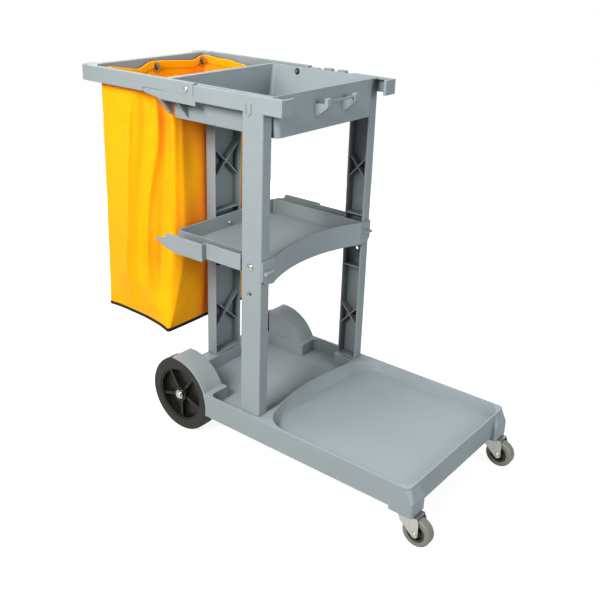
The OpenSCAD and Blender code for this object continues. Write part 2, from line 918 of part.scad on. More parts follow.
module bag_hooks() {
  color(steel)
    placed()
      at_hooks()
        hook();
}

// Flat steel hook: back, bridge through the eyelet and upright tip
module hook() {
  side(-hook_w / 2, hook_w / 2)
    difference() {
      rounded(0, 22, 0.8, 17, 2.4);
      translate([2.4, 3.2])
        square([17.2, 40]);
    }
}

// Fasteners

// Button head bolt pointing at -Y from its head face at y
module bolt(x, y, z, d, l, hd, hh) {
  across(x, z, y - l, y + 0.5, d / 2);
  translate([x, y, z])
    rotate([-90, 0, 0])
      rotate_extrude()
        intersection() {
          square([hd / 2, hh]);
          translate([0, hh - hd * 0.9])
            circle(hd * 0.9);
        }
}

module frame_bolts() {
  color(steel)
    placed()
      both_sides()
        difference() {
          bolt(arm_bolt_x, upper, arm_bolt_z, 8, frame_t + 24, 15, 4.5);
          hex_across(arm_bolt_x, arm_bolt_z, upper + 2, upper + 6, 5);
        }
}

module frame_nuts() {
  color(dark)
    placed()
      both_sides()
        difference() {
          hex_across(arm_bolt_x, arm_bolt_z, tray_half - 6.5, tray_half, 13);
          across(arm_bolt_x, arm_bolt_z, tray_half - 8, tray_half + 1, 4);
        }
}

module shelf_washers() {
  color(steel)
    placed()
      both_sides()
        difference() {
          across(bolt_x, shelf_bolt_z, upper - 2, upper - 0.4, 9);
          across(bolt_x, shelf_bolt_z, upper - 3, upper + 1, 4.2);
        }
}

module shelf_bolts() {
  color(steel)
    placed()
      both_sides()
        difference() {
          bolt(bolt_x, upper - 0.4, shelf_bolt_z, 8, post_t + 12, 15, 4.5);
          hex_across(bolt_x, shelf_bolt_z, upper + 1.6, upper + 6, 5);
        }
}

module shelf_nuts() {
  color(steel)
    placed()
      both_sides()
        difference() {
          hex_across(bolt_x, shelf_bolt_z, shelf_half - 10.5, shelf_half - 4, 13);
          across(bolt_x, shelf_bolt_z, shelf_half - 12, shelf_half, 4);
        }
}

// Pan head screw, head face at the origin, shank along -Z
module screw(d, l, hd) {
  translate([0, 0, -l])
    cylinder(h = l + 0.5, r = d / 2);
  rotate_extrude()
    intersection() {
      square([hd / 2, hd * 0.35]);
      translate([0, hd * 0.35 - hd * 0.8])
        circle(hd * 0.8);
    }
}

module rear_shelf_screw() {
  color(steel)
    placed()
      translate([-rear_post_x + 4, 0, shelf_bolt_z - 6])
        rotate([0, 90, 0])
          screw(5.2, 26, 12);
}

module foot_screws() {
  color(steel)
    placed() {
      for (y = [-1, 1])
        translate([-post_l / 2, y * (inner_post + upper) / 2, well_z - 8])
          mirror([0, 0, 1])
            screw(4.4, 50, 9);
      for (y = [-30, 30])
        translate([-rear_post_x - rear_post_t / 2, y, well_z - 8])
          mirror([0, 0, 1])
            screw(4.4, 30, 9);
    }
}

module tray_screws() {
  color(steel)
    placed()
      for (y = [-30, 30])
        translate([-tray_back + tray_wall, y, tray_low + 26])
          rotate([0, 90, 0])
            screw(4.4, 16, 9);
}

// Rear wheels

module rear_axle() {
  color(steel)
    placed()
      across(-axle_x, axle_z, -wheel_out - 7, wheel_out + 7, axle_d / 2);
}

module axle_washers() {
  color(steel)
    placed()
      both_sides()
        difference() {
          across(-axle_x, axle_z, house, house + 1.6, 13);
          across(-axle_x, axle_z, house - 1, house + 3, axle_d / 2 + 0.1);
        }
}

// Domed push-on cap with a flat rim
module axle_caps() {
  color(steel)
    placed()
      both_sides()
        translate([-axle_x, wheel_out + 2, axle_z])
          rotate([-90, 0, 0])
            difference() {
              rotate_extrude()
                union() {
                  square([12.5, 1.5]);
                  square([9.5, 6]);
                  intersection() {
                    square([9.5, 10]);
                    translate([0, -1.5])
                      circle(11.5);
                  }
                }
              translate([0, 0, -1])
                cylinder(h = 6, r = axle_d / 2);
            }
}

// Wheel pieces are drawn on the far side about the axle
module at_wheel() {
  translate([-axle_x, wheel_mid, axle_z])
    rotate([-90, 0, 0])
      children();
}

module wheel_tyre() {
  r = wheel_d / 2;
  w = wheel_w / 2;
  at_wheel()
    rotate_extrude($fn = 96)
      difference() {
        union() {
          translate([hub_d / 2, -w])
            square([r - hub_d / 2 - 6, wheel_w]);
          translate([hub_d / 2, -w + 6])
            square([r - hub_d / 2, wheel_w - 12]);
          for (y = [-w + 6, w - 6])
            translate([r - 6, y])
              circle(6);
        }
        for (y = [-9, 0, 9])
          translate([r - 1.2, y - 1])
            square([3, 2]);
      }
}

module wheel_hub() {
  w = wheel_w / 2;
  at_wheel()
    difference() {
      union() {
        rotate_extrude($fn = 96)
          union() {
            translate([hub_d / 2 - 6, -w + 1.5])
              square([6, wheel_w - 3]);
            translate([10, -3])
              square([hub_d / 2 - 12, 6]);
            translate([9.5, -w - 2])
              square([11, wheel_w + 2]);
          }
        for (i = [0:hub_webs - 1])
          rotate(90 + i * 360 / hub_webs)
            translate([15, -4, -w + 5])
              cube([hub_d / 2 - 19, 8, wheel_w - 10]);
      }
      cylinder(h = 100, r = 9.5, center = true);
    }
}

module wheel_bush() {
  at_wheel()
    translate([0, 0, -wheel_w / 2 - 5])
      difference() {
        cylinder(h = wheel_w + 6.6, r = 9.5);
        translate([0, 0, -1])
          cylinder(h = wheel_w + 10, r = axle_d / 2 + run_gap);
      }
}

module far_wheel_tyre() {
  color(dark)
    placed()
      wheel_tyre();
}

module far_wheel_hub() {
  color(dark)
    placed()
      wheel_hub();
}

module far_wheel_bush() {
  color(steel)
    placed()
      wheel_bush();
}

module near_wheel_tyre() {
  color(dark)
    placed()
      mirror([0, 1, 0])
        wheel_tyre();
}

module near_wheel_hub() {
  color(dark)
    placed()
      mirror([0, 1, 0])
        wheel_hub();
}

module near_wheel_bush() {
  color(steel)
    placed()
      mirror([0, 1, 0])
        wheel_bush();
}

// Casters, drawn about the stem axis

module at_stem(s) {
  translate([post_x + stem_x, s * stem_y, 0])
    children();
}

// Threaded stem above, king pin with a riveted head below
module caster_stem(s) {
  color(steel)
    at_stem(s)
      rotate_extrude()
        polygon([[0, crown_z - crown_t - 4.3], [6, crown_z - crown_t - 4.3], [8, crown_z - crown_t - 2.5],
                 [8, crown_z - crown_t - 0.3], [5, crown_z - crown_t - 0.3], [5, seat_z - cup_t - 0.5],
                 [stem_d / 2, seat_z - cup_t], [stem_d / 2, seat_z + 32], [stem_d / 2 - 2, seat_z + 34],
                 [0, seat_z + 34]]);
}

module caster_cup(s) {
  color(steel)
    at_stem(s)
      rotate_extrude()
        polygon([[stem_d / 2 + 0.1, seat_z - cup_t], [15.5, seat_z - cup_t], [16, seat_z - cup_t - 2],
                 [17.5, seat_z - cup_t - 2], [17.5, seat_z - 1.5], [16, seat_z], [stem_d / 2 + 0.1, seat_z]]);
}

// Stamped fork: crown plate over the wheel and two tapered legs
module caster_fork(s) {
  color(steel)
    at_stem(s)
      difference() {
        union() {
          translate([0, 0, crown_z - crown_t])
            cylinder(h = crown_t, r = 22.5);
          plan(crown_z - crown_t, crown_z)
            rounded(-15, 33, -fork_in - fork_t, fork_in + fork_t, 3);
          for (m = [0, 1])
            mirror([0, m, 0])
              side(fork_in, fork_in + fork_t)
                union() {
                  polygon([[-19, crown_z], [33, crown_z], [trail + 9, crown_z - 12], [trail + 9, pin_z],
                           [trail - 5, pin_z - 7.5], [-13, crown_z - 20]]);
                  translate([trail, pin_z])
                    circle(9);
                }
        }
        translate([0, 0, crown_z - 10])
          cylinder(h = 20, r = 5 + run_gap);
        across(trail, pin_z, -60, 60, pin_d / 2 + 0.1);
      }
}

module caster_balls(s) {
  color(steel)
    at_stem(s)
      for (i = [0:ball_n - 1])
        rotate(i * 360 / ball_n)
          translate([ball_ring, 0, crown_z + ball_d / 2 + 0.05])
            sphere(d = ball_d, $fn = 24);
}

// Dark ring that keeps dust out of the ball race
module caster_dust_ring(s) {
  color(dark)
    at_stem(s)
      rotate_extrude()
        polygon([[15.5, crown_z], [18.2, crown_z], [18.2, crown_z + 2.4], [15.5, crown_z + 2.4]]);
}

module caster_pin(s) {
  e = fork_in + fork_t;
  color(steel)
    at_stem(s)
      union() {
        across(trail, pin_z, -e - 1, e + 8, pin_d / 2);
        translate([trail, -e, pin_z])
          rotate([90, 0, 0])
            rotate_extrude()
              polygon([[0, -0.5], [pin_d / 2, -0.5], [pin_d / 2, 0], [6.5, 0], [6.5, 1.5], [4, 3.2], [0, 3.2]]);
      }
}

module caster_nut(s) {
  e = fork_in + fork_t;
  color(steel)
    at_stem(s)
      difference() {
        hex_across(trail, pin_z, e, e + 6, 13);
        across(trail, pin_z, e - 1, e + 9, pin_d / 2);
      }
}

// Wheel pieces of a caster about its axle
module at_pin(s) {
  at_stem(s)
    translate([trail, 0, pin_z])
      rotate([-90, 0, 0])
        children();
}

module caster_tyre(s) {
  r = caster_d / 2;
  w = caster_w / 2;
  color([0.52, 0.52, 0.49])
    at_pin(s)
      rotate_extrude()
        union() {
          translate([24, -w])
            square([r - 24 - 5, caster_w]);
          translate([24, -w + 5])
            square([r - 24, caster_w - 10]);
          for (y = [-w + 5, w - 5])
            translate([r - 5, y])
              circle(5);
        }
}

module caster_hub(s) {
  w = caster_w / 2;
  color(dark)
    at_pin(s)
      difference() {
        rotate_extrude()
          union() {
            translate([20, -w + 1])
              square([4, caster_w - 2]);
            translate([8, -4])
              square([14, 8]);
            translate([6.5, -w])
              square([4.5, caster_w]);
          }
        for (i = [0:5])
          rotate(i * 60)
            translate([15.5, 0, 0])
              cylinder(h = 20, r = 2.5, center = true);
      }
}

module caster_bush(s) {
  w = caster_w / 2 + 2;
  color(steel)
    at_pin(s)
      difference() {
        cylinder(h = 2 * w, r = 6.5, center = true);
        cylinder(h = 60, r = pin_d / 2 + run_gap, center = true);
      }
}

base_platform();
near_front_post();
far_front_post();
rear_post();
mid_shelf();
top_tray();
near_tray_rail();
far_tray_rail();
bag_frame();
waste_bag();
bag_binding();
bag_grommets();
bag_hooks();
frame_bolts();
frame_nuts();
shelf_bolts();
shelf_washers();
shelf_nuts();
rear_shelf_screw();
foot_screws();
tray_screws();
rear_axle();
axle_washers();
axle_caps();
near_wheel_tyre();
near_wheel_hub();
near_wheel_bush();
far_wheel_tyre();
far_wheel_hub();
far_wheel_bush();
caster_stem(-1);  // near_caster_stem
caster_cup(-1);  // near_caster_cup
caster_fork(-1);  // near_caster_fork
caster_balls(-1);  // near_caster_balls
caster_dust_ring(-1);  // near_caster_dust_ring
caster_pin(-1);  // near_caster_pin
caster_nut(-1);  // near_caster_nut
caster_tyre(-1);  // near_caster_tyre
caster_hub(-1);  // near_caster_hub
caster_bush(-1);  // near_caster_bush
caster_stem(1);  // far_caster_stem
caster_cup(1);  // far_caster_cup
caster_fork(1);  // far_caster_fork
caster_balls(1);  // far_caster_balls
caster_dust_ring(1);  // far_caster_dust_ring
caster_pin(1);  // far_caster_pin
caster_nut(1);  // far_caster_nut
caster_tyre(1);  // far_caster_tyre
caster_hub(1);  // far_caster_hub
caster_bush(1);  // far_caster_bush
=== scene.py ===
import bpy
import math
from mathutils import Matrix, Vector, noise


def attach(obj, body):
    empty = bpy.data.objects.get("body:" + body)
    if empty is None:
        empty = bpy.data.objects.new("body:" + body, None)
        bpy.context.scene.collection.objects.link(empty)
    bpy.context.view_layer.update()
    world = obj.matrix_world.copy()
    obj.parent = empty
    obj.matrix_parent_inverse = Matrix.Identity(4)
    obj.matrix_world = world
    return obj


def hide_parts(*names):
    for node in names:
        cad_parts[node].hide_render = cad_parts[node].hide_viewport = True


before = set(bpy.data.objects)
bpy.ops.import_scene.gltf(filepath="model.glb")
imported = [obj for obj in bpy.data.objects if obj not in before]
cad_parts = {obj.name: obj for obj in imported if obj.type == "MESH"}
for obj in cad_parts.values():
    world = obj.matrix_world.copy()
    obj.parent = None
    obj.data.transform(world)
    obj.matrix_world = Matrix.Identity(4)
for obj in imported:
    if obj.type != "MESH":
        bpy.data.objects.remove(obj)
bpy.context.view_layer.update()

scene = bpy.context.scene
scene.view_settings.view_transform = "Standard"

# Camera: stands off the near front corner of the cart at about chest height and looks down on it.
# The square picture shows the whole cart with white round it.
eye = Vector((1.29755, -1.66488, 1.31745))
turn, dip, lean = math.radians(37.98), math.radians(21.46), math.radians(1.8)
side = Vector((math.cos(turn), math.sin(turn), 0))
back = Vector((math.sin(turn) * math.cos(dip), -math.cos(turn) * math.cos(dip), math.sin(dip)))
rise = back.cross(side)
side, rise = side * math.cos(lean) + rise * math.sin(lean), rise * math.cos(lean) - side * math.sin(lean)
lens = bpy.data.cameras.new("studio_camera")
lens.sensor_fit = "HORIZONTAL"
lens.sensor_width = 36
lens.lens = 50.675
lens.shift_x, lens.shift_y = 0.0047, -0.0546
lens.clip_end = 60
camera = bpy.data.objects.new("studio_camera", lens)
camera.matrix_world = Matrix(((side.x, rise.x, back.x, eye.x), (side.y, rise.y, back.y, eye.y),
                              (side.z, rise.z, back.z, eye.z), (0, 0, 0, 1)))
scene.collection.objects.link(camera)
scene.camera = camera

# Studio: a white sweep. The floor is a round sheet that shows white to the camera and keeps a soft shadow under
# the cart. Soft boxes stand on the near side, over the cart and in front. One behind lights the other views.
floor_radius, floor_corners = 2.6, 96
fade_start, fade_end = 0.9, 1.7
glow_under, glow_outside = 0.86, 1.02
cart_middle = Vector((0, 0, 0.5))
warm_white, cool_white = (1.0, 0.985, 0.945), (0.91, 0.98, 1.0)


def place(tree, kind, *by_order, **named):
    """Adds a node: small-letter names are its settings, capital ones its inputs."""
    node = tree.nodes.new(kind)
    for name, value in named.items():
        if name[0].islower():
            setattr(node, name, value)
    for name, value in list(enumerate(by_order)) + [(n, v) for n, v in named.items() if n[0].isupper()]:
        socket = node.inputs[name if isinstance(name, int) else name.replace("_", " ")]
        if isinstance(value, bpy.types.NodeSocket):
            tree.links.new(value, socket)
        else:
            socket.default_value = value
    return node


def shown_to_camera(tree):
    """1 for the rays that show a surface, straight, in a reflection or through a clear piece."""
    ray = place(tree, "ShaderNodeLightPath").outputs
    seen = place(tree, "ShaderNodeMath", ray["Is Camera Ray"], ray["Is Glossy Ray"], operation="MAXIMUM").outputs[0]
    return place(tree, "ShaderNodeMath", seen, ray["Is Transmission Ray"], operation="MAXIMUM").outputs[0]


def soft_box(name, spot, size, power, tint):
    """A square soft box at spot that faces the middle of the cart."""
    lamp = bpy.data.lights.new(name, "AREA")
    lamp.color = tint
    lamp.shape = "SQUARE"
    lamp.size = size
    lamp.energy = power
    stand = bpy.data.objects.new(name, lamp)
    stand.location = spot
    stand.rotation_euler = (cart_middle - Vector(spot)).to_track_quat("-Z", "Y").to_euler()
    scene.collection.objects.link(stand)


room = bpy.data.worlds.new("white_room")
scene.world = room
room.use_nodes = True
tree = room.node_tree
tree.nodes.clear()
fill = place(tree, "ShaderNodeBackground", Color=(0.90, 0.98, 1.0, 1), Strength=0.21)
white = place(tree, "ShaderNodeBackground", Color=(1, 1, 1, 1), Strength=1.0)
mixed = place(tree, "ShaderNodeMixShader", shown_to_camera(tree), fill.outputs[0], white.outputs[0])
place(tree, "ShaderNodeOutputWorld", mixed.outputs[0])

floor_mesh = bpy.data.meshes.new("studio_floor")
steps = [math.tau * i / floor_corners for i in range(floor_corners)]
rim = [(floor_radius * math.cos(step), floor_radius * math.sin(step), 0) for step in steps]
floor_mesh.from_pydata(rim, [], [list(range(floor_corners))])
floor = bpy.data.objects.new("studio_floor", floor_mesh)
scene.collection.objects.link(floor)
sweep = bpy.data.materials.new("white_sweep")
sweep.use_nodes = True
tree = sweep.node_tree
tree.nodes.clear()
spot = place(tree, "ShaderNodeTexCoord").outputs["Object"]
far_out = place(tree, "ShaderNodeVectorMath", spot, operation="LENGTH").outputs["Value"]
fade = place(tree, "ShaderNodeMapRange", Value=far_out, From_Min=fade_start, From_Max=fade_end,
             To_Min=glow_under, To_Max=glow_outside).outputs[0]
paper = place(tree, "ShaderNodeBsdfDiffuse", Color=(0.34, 0.34, 0.34, 1))
shadow = place(tree, "ShaderNodeBsdfDiffuse", Color=(0.32, 0.32, 0.32, 1))
glow = place(tree, "ShaderNodeEmission", Color=(1, 1, 1, 1), Strength=fade)
lit = place(tree, "ShaderNodeAddShader", shadow.outputs[0], glow.outputs[0])
shown = place(tree, "ShaderNodeMixShader", shown_to_camera(tree), paper.outputs[0], lit.outputs[0])
place(tree, "ShaderNodeOutputMaterial", shown.outputs[0])
floor_mesh.materials.append(sweep)

soft_box("near_soft_box", (0.2, -2.45, 2.2), size=1.0, power=127, tint=warm_white)
soft_box("top_soft_box", (-0.68, -0.45, 4.5), size=1.8, power=111, tint=cool_white)
soft_box("front_soft_box", (3.1, 0.1, 1.75), size=1.4, power=50, tint=cool_white)
soft_box("rear_soft_box", (-2.7, 1.5, 0.8), size=1.4, power=66, tint=warm_white)

# Grey mouldings: base, posts, shelf, tray and bag frame, injection moulded in grey-blue polyethylene
# with a fine satin grain. The posts plug into sockets and are screwed, the shelf is bolted to them.
# Painted shade: the dark tone mixed into shut-in corners and recesses.
painted_shade_tone = (0.04, 0.046, 0.05, 1)
scuff_tone = (0.34, 0.37, 0.385, 1)
scuff_roughness = 0.2


def new_group(name, inputs, outputs):
    """Starts a shader node group and returns its tree, its input sockets and its output sockets."""
    tree = bpy.data.node_groups.new(name, "ShaderNodeTree")
    for label, kind, value in inputs:
        tree.interface.new_socket(label, in_out="INPUT", socket_type="NodeSocket" + kind).default_value = value
    for label, kind in outputs:
        tree.interface.new_socket(label, in_out="OUTPUT", socket_type="NodeSocket" + kind)
    return tree, tree.nodes.new("NodeGroupInput").outputs, tree.nodes.new("NodeGroupOutput").inputs


def new_finish(name, **sockets):
    """Starts a material and returns it with its tree and its shader, plain values set on the shader."""
    finish = bpy.data.materials.new(name)
    finish.use_nodes = True
    shader = finish.node_tree.nodes["Principled BSDF"]
    for label, value in sockets.items():
        shader.inputs[label.replace("_", " ")].default_value = value
    return finish, finish.node_tree, shader.inputs


def use_group(tree, group, **values):
    """Places a node group in a material with its own values."""
    return place(tree, "ShaderNodeGroup", node_tree=group, **values).outputs


def mix_tones(tree, share, first, second):
    """Blends from the first colour to the second."""
    return place(tree, "ShaderNodeMix", data_type="RGBA", Factor=share, A=first, B=second).outputs["Result"]


def join_skin(tree, made, shader):
    """Links a group's colour, roughness and normal to the shader."""
    for label, socket in (("Colour", "Base Color"), ("Roughness", "Roughness"), ("Normal", "Normal")):
        tree.links.new(made[label], shader[socket])


def paint(finish, *names):
    """Gives a finish to CAD nodes."""
    for name in names:
        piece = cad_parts[name]
        if not piece.material_slots:
            piece.data.materials.append(finish)
        for holder in piece.material_slots:
            holder.material = finish


# Moulded grain: slow drift of tone, fine grain in the skin, and edges rounded by the mould and made paler, partly
# rubbed wear and partly a painted highlight. Shut-in corners and recesses get a painted shade, a dark tone mixed in.
grain, take, give = new_group("moulded_grain", [
    ("Tone", "Color", (0.5, 0.5, 0.5, 1)), ("Drift", "Color", (0.4, 0.4, 0.4, 1)),
    ("Rubbed", "Color", (0.7, 0.7, 0.7, 1)), ("Grain Scale", "Float", 900.0), ("Grain Depth", "Float", 0.1),
    ("Smooth", "Float", 0.35), ("Rough", "Float", 0.5), ("Edge", "Float", 0.002), ("Dust", "Float", 0.0)],
    [("Colour", "Color"), ("Roughness", "Float"), ("Normal", "Vector")])
spot = place(grain, "ShaderNodeTexCoord").outputs["Object"]
clouds = place(grain, "ShaderNodeTexNoise", Vector=spot, Scale=6.0, Detail=5.0, Roughness=0.6).outputs[0]
tone = place(grain, "ShaderNodeMapRange", Value=clouds, From_Min=0.3, From_Max=0.7).outputs[0]
skin = mix_tones(grain, tone, take["Drift"], take["Tone"])
# Edges are mixed towards a paler tone: partly rubbed wear, partly a painted highlight where rounded edges catch
# light.
turned = place(grain, "ShaderNodeBevel", samples=6, Radius=take["Edge"]).outputs[0]
flat = place(grain, "ShaderNodeNewGeometry").outputs["Normal"]
bend = place(grain, "ShaderNodeVectorMath", turned, flat, operation="DOT_PRODUCT").outputs["Value"]
corner = place(grain, "ShaderNodeMapRange", Value=bend, From_Min=0.995, From_Max=0.8, To_Max=0.6).outputs[0]
worn_and_lit = mix_tones(grain, corner, skin, take["Rubbed"])
# Painted shade: an occlusion mask darkens corners and recesses, standing in for the shade that falls there.
sky = place(grain, "ShaderNodeAmbientOcclusion", samples=6, Distance=0.14).outputs["AO"]
painted_shade_share = place(grain, "ShaderNodeMapRange", Value=sky, From_Min=0.62, From_Max=0.25).outputs[0]
painted_shade_share = place(grain, "ShaderNodeMath", painted_shade_share, take["Dust"], operation="MULTIPLY").outputs[0]
grain.links.new(mix_tones(grain, painted_shade_share, worn_and_lit, painted_shade_tone), give["Colour"])
fine = place(grain, "ShaderNodeTexNoise", Vector=spot, Scale=take["Grain Scale"], Detail=2.0).outputs[0]
patch = place(grain, "ShaderNodeTexNoise", Vector=spot, Scale=24.0, Detail=4.0).outputs[0]
gloss = place(grain, "ShaderNodeMapRange", Value=patch, From_Min=0.3, From_Max=0.7, To_Min=take["Smooth"],
              To_Max=take["Rough"]).outputs[0]
grain.links.new(gloss, give["Roughness"])
ripple = place(grain, "ShaderNodeBump", Strength=take["Grain Depth"], Distance=0.0004, Height=fine, Normal=turned)
grain.links.new(ripple.outputs[0], give["Normal"])

# Scuffs: thin pale drag marks, only where a face looks up.
scuffs, take, give = new_group("drag_scuffs", [("Amount", "Float", 0.3)], [("Mask", "Float")])
spot = place(scuffs, "ShaderNodeTexCoord").outputs["Object"]
drawn = place(scuffs, "ShaderNodeMapping", Vector=spot, Scale=(5, 230, 230), Rotation=(0, 0, 0.35)).outputs[0]
lines = place(scuffs, "ShaderNodeTexNoise", Vector=drawn, Scale=1.0, Detail=2.0).outputs[0]
lines = place(scuffs, "ShaderNodeMapRange", Value=lines, From_Min=0.66, From_Max=0.74).outputs[0]
where = place(scuffs, "ShaderNodeTexNoise", Vector=spot, Scale=7.0, Detail=2.0).outputs[0]
where = place(scuffs, "ShaderNodeMapRange", Value=where, From_Min=0.5, From_Max=0.7).outputs[0]
facing = place(scuffs, "ShaderNodeNewGeometry").outputs["Normal"]
facing = place(scuffs, "ShaderNodeSeparateXYZ", facing).outputs["Z"]
upward = place(scuffs, "ShaderNodeMapRange", Value=facing, From_Min=0.9, From_Max=0.98).outputs[0]
mask = place(scuffs, "ShaderNodeMath", lines, where, operation="MULTIPLY").outputs[0]
mask = place(scuffs, "ShaderNodeMath", mask, upward, operation="MULTIPLY").outputs[0]
mask = place(scuffs, "ShaderNodeMath", mask, take["Amount"], operation="MULTIPLY").outputs[0]
scuffs.links.new(mask, give["Mask"])

grey, tree, shader = new_finish("grey_moulding", IOR=1.5, Specular_IOR_Level=0.3)
# This moulding gets painted shade in its shut-in corners and recesses from the group's occlusion mask.
made = use_group(tree, grain, Tone=(0.236, 0.268, 0.283, 1), Drift=(0.218, 0.249, 0.266, 1),
                 Rubbed=(0.28, 0.315, 0.33, 1), Grain_Scale=850.0, Grain_Depth=0.16, Smooth=0.52, Rough=0.64,
                 Edge=0.0022, Dust=0.68)
drag = use_group(tree, scuffs, Amount=0.35)["Mask"]
tree.links.new(mix_tones(tree, drag, made["Colour"], scuff_tone), shader["Base Color"])
rubbed = place(tree, "ShaderNodeMath", drag, scuff_roughness, operation="MULTIPLY").outputs[0]
rubbed = place(tree, "ShaderNodeMath", made["Roughness"], rubbed, operation="ADD").outputs[0]
tree.links.new(rubbed, shader["Roughness"])
tree.links.new(made["Normal"], shader["Normal"])
paint(grey, "base_platform", "near_front_post", "far_front_post", "rear_post", "mid_shelf", "top_tray",
      "near_tray_rail", "far_tray_rail", "bag_frame")

# Rear wheels: black moulded rubber tyres on black nylon hubs with five webs. Each runs on a plain bush
# and is kept on the axle by a bright push-on cap.
rubber, tree, shader = new_finish("black_tyre", IOR=1.5, Specular_IOR_Level=0.25)
made = use_group(tree, grain, Tone=(0.0185, 0.0175, 0.0138, 1), Drift=(0.0130, 0.0122, 0.0098, 1),
                 Rubbed=(0.032, 0.030, 0.025, 1), Grain_Scale=600.0, Grain_Depth=0.3, Smooth=0.55, Rough=0.75,
                 Edge=0.002)
join_skin(tree, made, shader)
nylon, tree, shader = new_finish("black_hub", IOR=1.5, Specular_IOR_Level=0.17)
made = use_group(tree, grain, Tone=(0.0092, 0.0086, 0.0066, 1), Drift=(0.0062, 0.0058, 0.0045, 1),
                 Rubbed=(0.028, 0.0275, 0.026, 1), Grain_Scale=900.0, Grain_Depth=0.15, Smooth=0.32, Rough=0.46,
                 Edge=0.0015)
join_skin(tree, made, shader)
paint(rubber, "near_wheel_tyre", "far_wheel_tyre")
paint(nylon, "near_wheel_hub", "far_wheel_hub", "near_wheel_bush", "far_wheel_bush")

# Steel: zinc plated axle, bolts, washers, screws, hooks, eyelets and caster frames; bright axle caps;
# blackened nuts inside the tray. Plating leaves a fine brushed and slightly blotched skin.
zinc_pieces = ["bag_grommets", "bag_hooks", "frame_bolts", "shelf_bolts", "shelf_washers", "shelf_nuts",
               "rear_shelf_screw", "foot_screws", "tray_screws", "rear_axle", "axle_washers"]
zinc_pieces += [f"{hand}_caster_{piece}" for hand in ("near", "far")
                for piece in ("stem", "cup", "fork", "balls", "pin", "nut", "bush")]
plating, take, give = new_group("plated_skin", [
    ("Metal", "Color", (0.6, 0.6, 0.6, 1)), ("Blotch", "Color", (0.5, 0.5, 0.5, 1)), ("Smooth", "Float", 0.2),
    ("Rough", "Float", 0.4), ("Brush Depth", "Float", 0.1)],
    [("Colour", "Color"), ("Roughness", "Float"), ("Normal", "Vector")])
spot = place(plating, "ShaderNodeTexCoord").outputs["Object"]
cells = place(plating, "ShaderNodeTexVoronoi", Vector=spot, Scale=260.0).outputs["Color"]
cells = place(plating, "ShaderNodeSeparateColor", cells).outputs[0]
cloud = place(plating, "ShaderNodeTexNoise", Vector=spot, Scale=70.0, Detail=3.0).outputs[0]
blotch = place(plating, "ShaderNodeMath", cells, cloud, operation="MULTIPLY").outputs[0]
plating.links.new(mix_tones(plating, blotch, take["Metal"], take["Blotch"]), give["Colour"])
gloss = place(plating, "ShaderNodeMapRange", Value=cloud, From_Min=0.3, From_Max=0.7, To_Min=take["Smooth"],
              To_Max=take["Rough"]).outputs[0]
plating.links.new(gloss, give["Roughness"])
drawn = place(plating, "ShaderNodeMapping", Vector=spot, Scale=(900, 900, 90)).outputs[0]
brush = place(plating, "ShaderNodeTexNoise", Vector=drawn, Scale=1.0, Detail=2.0).outputs[0]
soft = place(plating, "ShaderNodeBevel", samples=4, Radius=0.0006).outputs[0]
scored = place(plating, "ShaderNodeBump", Strength=take["Brush Depth"], Distance=0.0002, Height=brush, Normal=soft)
plating.links.new(scored.outputs[0], give["Normal"])
for name, metal, blotch, smooth, rough, depth, nodes in (
        ("zinc_plate", (0.41, 0.408, 0.375, 1), (0.31, 0.311, 0.283, 1), 0.24, 0.42, 0.1, zinc_pieces),
        ("bright_plate", (0.46, 0.46, 0.44, 1), (0.38, 0.38, 0.36, 1), 0.14, 0.26, 0.04, ["axle_caps"]),
        ("black_oxide", (0.05, 0.05, 0.05, 1), (0.03, 0.03, 0.03, 1), 0.35, 0.5, 0.1, ["frame_nuts"])):
    steel, tree, shader = new_finish(name, Metallic=1.0)
    made = use_group(tree, plating, Metal=metal, Blotch=blotch, Smooth=smooth, Rough=rough, Brush_Depth=depth)
    join_skin(tree, made, shader)
    paint(steel, *nodes)

# Casters: soft grey rubber tyres moulded on dark grey nylon hubs, with a black dust ring round the ball race.
# The mould was turned, and its rings show on the sides of the tyres.
caster_axle = (0.545, 0, 0.037)
ring_scale = 60.0
groove_painted_shade = (0.07, 0.07, 0.058, 1)
soft_tyre, tree, shader = new_finish("grey_caster_rubber", IOR=1.5)
made = use_group(tree, grain, Tone=(0.176, 0.177, 0.150, 1), Drift=(0.142, 0.144, 0.122, 1),
                 Rubbed=(0.21, 0.212, 0.182, 1), Grain_Scale=700.0, Grain_Depth=0.2, Smooth=0.5, Rough=0.66,
                 Edge=0.0012)
spot = place(tree, "ShaderNodeTexCoord").outputs["Object"]
spot = place(tree, "ShaderNodeVectorMath", spot, caster_axle, operation="SUBTRACT").outputs[0]
ring = place(tree, "ShaderNodeTexWave", Vector=spot, Scale=ring_scale, wave_type="RINGS",
             rings_direction="Y").outputs["Fac"]
# Painted shade: the tyre colour is made darker in the ring grooves.
groove = place(tree, "ShaderNodeMapRange", Value=ring, From_Min=0.3, From_Max=0.0, To_Max=0.45).outputs[0]
tree.links.new(mix_tones(tree, groove, made["Colour"], groove_painted_shade), shader["Base Color"])
tree.links.new(made["Roughness"], shader["Roughness"])
ridge = place(tree, "ShaderNodeBump", Strength=0.5, Distance=0.0008, Height=ring, Normal=made["Normal"]).outputs[0]
tree.links.new(ridge, shader["Normal"])
paint(soft_tyre, "near_caster_tyre", "far_caster_tyre")
grey_nylon, tree, shader = new_finish("dark_grey_hub", IOR=1.5, Specular_IOR_Level=0.25)
made = use_group(tree, grain, Tone=(0.040, 0.039, 0.033, 1), Drift=(0.028, 0.0275, 0.023, 1),
                 Rubbed=(0.07, 0.069, 0.06, 1), Grain_Scale=900.0, Grain_Depth=0.15, Smooth=0.4, Rough=0.55,
                 Edge=0.001)
join_skin(tree, made, shader)
paint(grey_nylon, "near_caster_hub", "far_caster_hub")
paint(nylon, "near_caster_dust_ring", "far_caster_dust_ring")

